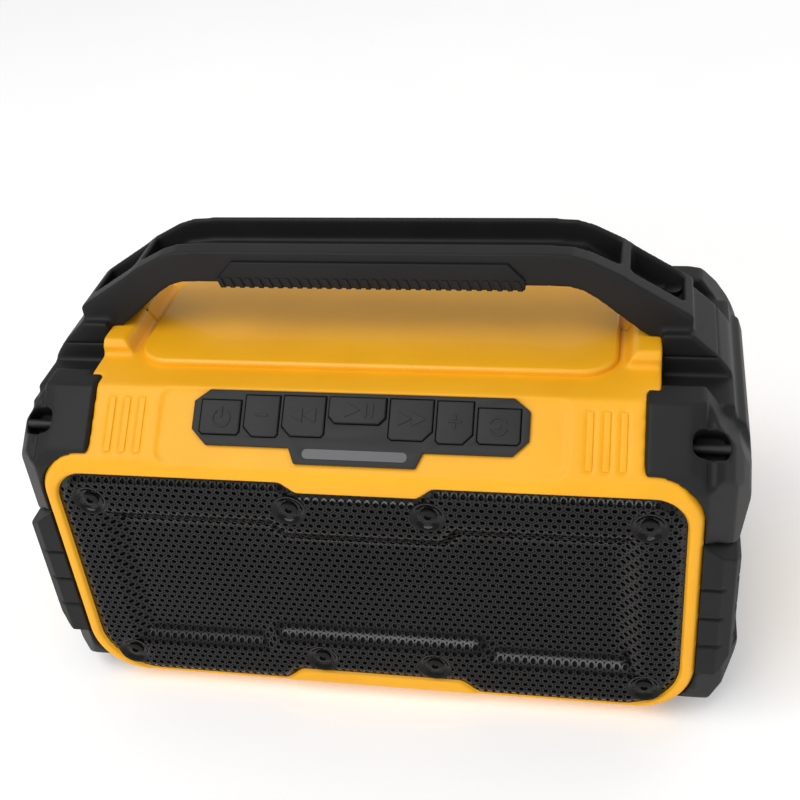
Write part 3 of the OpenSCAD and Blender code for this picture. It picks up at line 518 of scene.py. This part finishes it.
def pressSheet(piece, flat, back):
    # trims a flat mesh to the outline and presses it to the stamped form, set back by some millimetres
    mesh = piece.data
    edgeGap, nearest = edgeDistance(flat, grilleOutline())
    outside = edgeGap < 0
    gone = edgeGap < -sheet["trim"]
    flat[outside] = nearest[outside]
    edgeGap = np.maximum(edgeGap, 0)
    height = sheet["border"] + (sheet["flange"] - sheet["border"]) * ease(edgeGap / sheet["borderWidth"])
    sink = ease(edgeDistance(flat, fieldOutline())[0] / sheet["slope"])
    height += (sheet["field"] - sheet["flange"]) * sink
    for spot in screwSpots:
        away = np.hypot(*(flat - spot).T)
        height *= ease((away - sheet["dimple"]) / (sheet["dimpleRim"] - sheet["dimple"]))
    solid = np.column_stack((flat[:, 0], sheet["seat"] - height + back, flat[:, 1])) * mm
    mesh.vertices.foreach_set("co", solid.ravel())
    mesh.update()
    pick(piece)
    mesh.vertices.foreach_set("select", gone)
    mesh.edges.foreach_set("select", np.zeros(len(mesh.edges), bool))
    mesh.polygons.foreach_set("select", np.zeros(len(mesh.polygons), bool))
    bpy.ops.object.mode_set(mode="EDIT")
    bpy.ops.mesh.select_mode(type="VERT")
    bpy.ops.mesh.delete(type="VERT")
    bpy.ops.mesh.select_all(action="SELECT")
    bpy.ops.mesh.remove_doubles(threshold=weld["sheet"] * mm)
    bpy.ops.mesh.dissolve_degenerate(threshold=weld["cell"] * mm)
    objectMode()
    mesh.vertices.foreach_set("select", np.zeros(len(mesh.vertices), bool))
    mesh.edges.foreach_set("select", np.zeros(len(mesh.edges), bool))
    mesh.polygons.foreach_set("select", [face.normal.y > 0 for face in mesh.polygons])
    bpy.ops.object.mode_set(mode="EDIT")
    bpy.ops.mesh.select_mode(type="FACE")
    bpy.ops.mesh.flip_normals()
    objectMode()


def makeGrille():
    pitch = sheet["pitch"]
    rowStep = pitch * math.sqrt(3) / 2
    columns = int(2 * sheet["halfWidth"] / pitch) + 3
    pairs = int((sheet["high"] - sheet["low"]) / rowStep / 2) + 2
    deselectAll()
    piece = perforatedCell("grilleSheet")
    for count, step in ((columns, (pitch * mm, 0, 0)), (pairs, (0, 2 * rowStep * mm, 0))):
        finishWith(piece, "ARRAY", count=count, use_relative_offset=False, use_constant_offset=True,
                   constant_offset_displace=step)
    start = np.array((-(columns - 0.5) / 2 * pitch, sheet["low"] - rowStep))
    editAll(piece)
    bpy.ops.mesh.remove_doubles(threshold=weld["cell"] * mm)
    objectMode()
    mesh = piece.data
    places = np.zeros(len(mesh.vertices) * 3)
    mesh.vertices.foreach_get("co", places)
    flat = places.reshape(-1, 3)[:, :2] / mm + start
    # the cell that each point belongs to
    centres = np.zeros_like(flat)
    reach = np.full(len(flat), 1e9)
    for offset in (0, 1):
        row = np.round((flat[:, 1] - start[1] - offset * rowStep) / (2 * rowStep)) * 2 + offset
        column = np.round((flat[:, 0] - start[0]) / pitch - offset / 2)
        spot = np.column_stack((start[0] + (column + offset / 2) * pitch, start[1] + row * rowStep))
        gap = np.hypot(*(flat - spot).T)
        closer = gap < reach
        centres[closer] = spot[closer]
        reach[closer] = gap[closer]
    outline = grilleOutline()
    centreGap = edgeDistance(centres, outline)[0]
    for spot in screwSpots:
        centreGap[np.hypot(*(centres - spot).T) < sheet["dimple"]] = 0
    holePoint = reach < sheet["hole"] / 2 + sheet["holeSlack"]
    closedHole = holePoint & (centreGap < sheet["margin"])
    flat[closedHole] = centres[closedHole]
    pressSheet(piece, flat, 0)
    finishWith(piece, "SOLIDIFY", thickness=sheet["thickness"] * mm, offset=-1)
    pick(piece)
    bpy.ops.object.shade_smooth_by_angle(angle=math.radians(45))
    return settle(piece, "front_grille", finishes["grillePaint"])


grille = makeGrille()
print("grille", len(grille.data.polygons), "faces")

# cloth stretched behind the whole sheet
cloth = {"back": 1.15, "thickness": 0.15, "columns": 150, "rows": 70}


def makeCloth():
    deselectAll()
    bpy.ops.mesh.primitive_grid_add(x_subdivisions=cloth["columns"], y_subdivisions=cloth["rows"], size=1,
                                    location=(0, 0, 0))
    piece = bpy.context.object
    piece.name = "grilleCloth"
    places = np.zeros(len(piece.data.vertices) * 3)
    piece.data.vertices.foreach_get("co", places)
    flat = places.reshape(-1, 3)[:, :2] * (2 * sheet["halfWidth"], sheet["high"] - sheet["low"])
    flat += (0, (sheet["high"] + sheet["low"]) / 2)
    pressSheet(piece, flat, cloth["back"])
    finishWith(piece, "SOLIDIFY", thickness=cloth["thickness"] * mm, offset=-1)
    pick(piece)
    bpy.ops.object.shade_smooth()
    return settle(piece, "grille_cloth", finishes["clothBlack"])


makeCloth()
print("cloth behind the grille")

# screws that hold the grille: radius and height pairs, height along the screw
grilleScrew = {"profile": [(0, -6.3), (1.45, -6.3), (1.45, -0.2), (3, -0.2), (3, 0.25), (2.87, 0.62),
                           (2.4, 0.88), (1.7, 1.02), (0.9, 1.08), (0, 1.1)],
               "dish": [(1.6, -0.4), (1.6, -0.2), (3.5, -0.16), (4.1, 0.04), (4.7, 0.45), (5.3, 0.92),
                        (5.8, 1.18), (6.3, 1.25), (6.3, 0.8), (5.6, 0.5), (4.6, -0.1), (3.6, -0.4),
                        (1.6, -0.4)],
               "socket": 1.35, "socketDepth": 0.8, "cutHeight": 3}


def makeGrilleScrews():
    screws = []
    dishes = [grille]
    radius = grilleScrew["socket"]
    hexagon = [(radius * math.cos(i * math.pi / 3), radius * math.sin(i * math.pi / 3)) for i in range(6)]
    low = grilleScrew["profile"][-1][1] - grilleScrew["socketDepth"]
    for x, z in screwSpots:
        place = Matrix.Translation(Vector((x, sheet["seat"], z)) * mm) @ onFront
        screw = lathe("grilleScrew", grilleScrew["profile"], place)
        bottom = place @ Matrix.Translation((0, 0, low * mm))
        cut(screw, slab("socket", hexagon, grilleScrew["cutHeight"], bottom))
        screws.append(smoothByAngle(screw))
        dish = smoothByAngle(lathe("dish", grilleScrew["dish"], place, 40))
        dish.data.materials.append(finishes["glossBlack"])
        dishes.append(dish)
    join(dishes, "grilleSheet")
    return settle(join(screws, "grilleScrewSet"), "grille_screws", finishes["glossBlack"])


makeGrilleScrews()
print("grille screws", len(screwSpots))

# glossy plate on the deck
plate = {"halfWidth": 85.5, "halfDepth": 30.5, "radius": 12.0, "thickness": 2.5, "rounding": 1.5}


def makeDeckPlate():
    half, deep = plate["halfWidth"], plate["halfDepth"]
    outline = roundRect(-half, half, -deep, deep, plate["radius"], 14)
    piece = slab("deckPlate", outline, plate["thickness"], Matrix.Translation((0, 0, body["deck"] * mm)))
    roundTop(piece, (0, 0, 1), plate["rounding"], 5)
    return settle(piece, "deck_plate", finishes["yellowGloss"])


makeDeckPlate()
print("deck plate")

# keys with raised marks, places along the sloped face in millimetres
keypad = {"rounding": 0.45, "padRounding": 0.2, "markHeight": 0.3, "markSunk": 0.1, "markRounding": 0.12,
          "keyTop": 1.3, "playTop": 1.8}


def ringSector(cx, cy, inner, outer, start, end, steps=20):
    turns = [math.radians(start + (end - start) * i / steps) for i in range(steps + 1)]
    far = [(cx + outer * math.cos(t), cy + outer * math.sin(t)) for t in turns]
    near = [(cx + inner * math.cos(t), cy + inner * math.sin(t)) for t in reversed(turns)]
    return far + near


def bar(x0, x1, y0, y1):
    return [(x0, y0), (x1, y0), (x1, y1), (x0, y1)]


def arrow(tip, base, middle, half):
    return [(tip, middle), (base, middle - half), (base, middle + half)]


keyMarks = {
    "power_button": [ringSector(-47.6, 18.6, 2.7, 3.4, 125, 415), bar(-47.95, -47.25, 18.8, 22.6)],
    "volume_down_button": [bar(-35.6, -31, 19.7, 20.5)],
    "previous_button": [arrow(-23.4, -18.9, 20.4, 2.5), arrow(-18.7, -14.2, 20.4, 2.5)],
    "play_button": [arrow(1.2, -4.2, 22.8, 2.7), bar(2.4, 3.4, 20.2, 25.4), bar(4.6, 5.6, 20.2, 25.4)],
    "next_button": [arrow(23.4, 18.9, 20.4, 2.5), arrow(18.7, 14.2, 20.4, 2.5)],
    "volume_up_button": [bar(31, 35.6, 19.7, 20.5), bar(32.9, 33.7, 17.8, 19.7), bar(32.9, 33.7, 20.5, 22.4)],
    "pairing_button": [ringSector(47.8, 19, 2.6, 3.3, 20, 160), ringSector(47.8, 19, 2.6, 3.3, 200, 340),
                       ringSector(47.8, 19, 0.05, 1.0, 0, 358)],
}


def makeKeypad():
    pad = copyNode("keypad", "keypadSheet")
    finishWith(pad, "BEVEL", width=keypad["padRounding"] * mm, segments=2, limit_method="ANGLE",
               angle_limit=math.radians(50), use_clamp_overlap=False)
    smoothByAngle(pad)
    settle(pad, "keypad", finishes["keyRubber"])
    for nodeName, marks in keyMarks.items():
        key = copyNode(nodeName, nodeName + "_cap")
        roundTop(key, faceNormal, keypad["rounding"], 3)
        top = keypad["playTop"] if nodeName == "play_button" else keypad["keyTop"]
        place = onFace @ Matrix.Translation((0, 0, (top - keypad["markSunk"]) * mm))
        raised = []
        for outline in marks:
            mark = slab("mark", outline, keypad["markHeight"] + keypad["markSunk"], place)
            rounding = keypad["markRounding"] * mm
            raised.append(finishWith(mark, "BEVEL", width=rounding, segments=2, limit_method="ANGLE"))
        settle(join([key] + raised, nodeName + "_cap"), nodeName, finishes["keyRubber"])


makeKeypad()
print("keypad with", len(keyMarks), "keys")

# soft grip on the handle: ribs lean along its lower edge
grip = {"front": -14.7, "low": 152.0, "ribs": 31, "pitch": 3.5, "width": 1.9, "height": 3.9, "lean": -1.4,
        "proud": 0.5, "sunk": 0.4, "rounding": 0.5, "ribRounding": 0.3}


def makeGrip():
    pad = copyNode("handle_grip", "gripPad")
    finishWith(pad, "BEVEL", width=grip["rounding"] * mm, segments=3, limit_method="ANGLE",
               angle_limit=math.radians(35))
    half = grip["width"] / 2
    lean, high = grip["lean"], grip["height"]
    start = -(grip["ribs"] - 1) / 2 * grip["pitch"]
    place = Matrix.Translation(Vector((start, grip["front"] + grip["sunk"], grip["low"])) * mm) @ onFront
    outline = [(-half, 0), (half, 0), (half + lean, high), (lean - half, high)]
    rib = slab("gripRib", outline, grip["proud"] + grip["sunk"], place)
    finishWith(rib, "BEVEL", width=grip["ribRounding"] * mm, segments=2, limit_method="ANGLE")
    finishWith(rib, "ARRAY", count=grip["ribs"], use_relative_offset=False, use_constant_offset=True,
               constant_offset_displace=(grip["pitch"] * mm, 0, 0))
    piece = smoothByAngle(join([pad, rib], "gripPad"), 40)
    return settle(piece, "handle_grip", finishes["blackRubber"])


makeGrip()
print("grip ribs", grip["ribs"])

# seal between the halves, drawn in from their outer edge
seal = {"shrink": 0.985, "middle": 67.0}


def makeSeal():
    piece = copyNode("housing_gasket", "seal")
    editAll(piece)
    bpy.ops.transform.resize(value=(seal["shrink"], 1, seal["shrink"]),
                             center_override=(0, 0, seal["middle"] * mm))
    objectMode()
    return settle(piece, "housing_gasket", finishes["blackRubber"])


makeSeal()
print("seal drawn in")


def makeSurround(side):
    nodeName = side + "_surround"
    roll = smoothByAngle(copyNode(nodeName, side + "SurroundRoll"))
    roll.data.materials.append(finishes["blackRubber"])
    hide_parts(nodeName)
    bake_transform(roll)


makeSurround("left")
makeSurround("right")
print("surrounds rolled")

# stage
studio = {"floor": 6.0, "paperDark": (0.93, 0.93, 0.93), "paperLight": (0.95, 0.95, 0.95), "paperScale": 6,
          "paperRough": 0.9, "paperGlow": 0.17, "sky": 0.55}
lamps = {
    "keyLight": {"place": (-0.55, -0.6, 1.35), "target": (0, 0, 0.08), "size": (1.2, 0.9), "power": 11},
    "frontStrip": {"place": (-0.35, -1.45, 0.82), "target": (0, 0, 0.06), "size": (1.6, 0.09), "power": 5},
    "backFill": {"place": (0.9, 1.3, 1.1), "target": (0, 0, 0.08), "size": (1.2, 0.9), "power": 4},
}


def makeStage():
    bpy.ops.object.select_all(action="DESELECT")
    bpy.ops.mesh.primitive_plane_add(size=studio["floor"], location=(0, 0, 0))
    floor = bpy.context.object
    floor.name = "floor"
    paper, nodes, links, shader, coords = startFinish("palePaper")
    fibre = addNoise(nodes, links, coords, studio["paperScale"])
    shade = tint(nodes, links, fibre.outputs["Fac"], studio["paperDark"], studio["paperLight"])
    links.new(shade, shader.inputs["Base Color"])
    shader.inputs["Roughness"].default_value = studio["paperRough"]
    shader.inputs["Emission Color"].default_value = (1, 1, 1, 1)
    shader.inputs["Emission Strength"].default_value = studio["paperGlow"]
    floor.data.materials.append(paper)
    world = bpy.data.worlds.new("studio")
    bpy.context.scene.world = world
    world.use_nodes = True
    sky = world.node_tree.nodes["Background"]
    sky.inputs["Color"].default_value = (1, 1, 1, 1)
    sky.inputs["Strength"].default_value = studio["sky"]


def addLamp(name, place, target, size, power):
    lampData = bpy.data.lights.new(name, "AREA")
    lampData.shape = "RECTANGLE"
    lampData.size, lampData.size_y = size
    lampData.energy = power
    lamp = bpy.data.objects.new(name, lampData)
    bpy.context.scene.collection.objects.link(lamp)
    lamp.location = place
    lamp.rotation_euler = (Vector(target) - Vector(place)).to_track_quat("-Z", "Y").to_euler()
    return lamp


makeStage()
for lampName, setting in lamps.items():
    addLamp(lampName, **setting)

# camera solved from the picture: place in millimetres, picture axes, focal length in pixels
view = {"place": (93.956, -372.296, 364.849), "right": (0.98060, 0.17503, -0.08823),
        "down": (0.03085, -0.58235, -0.81235), "forward": (-0.19357, 0.79387, -0.57645),
        "focal": 1230.0, "picture": 800.0, "sensor": 36.0, "near": 0.01}


def makeCamera():
    lens = bpy.data.cameras.new("camera")
    lens.sensor_width = view["sensor"]
    lens.lens = view["focal"] / view["picture"] * view["sensor"]
    lens.clip_start = view["near"]
    camera = bpy.data.objects.new("camera", lens)
    bpy.context.scene.collection.objects.link(camera)
    right, down, forward = (Vector(view[key]) for key in ("right", "down", "forward"))
    turn = Matrix((right, -down, -forward)).transposed().to_4x4()
    camera.matrix_world = Matrix.Translation(Vector(view["place"]) * mm) @ turn
    bpy.context.scene.camera = camera
    bpy.context.scene.view_settings.view_transform = "Standard"


makeCamera()
print("stage and camera ready")
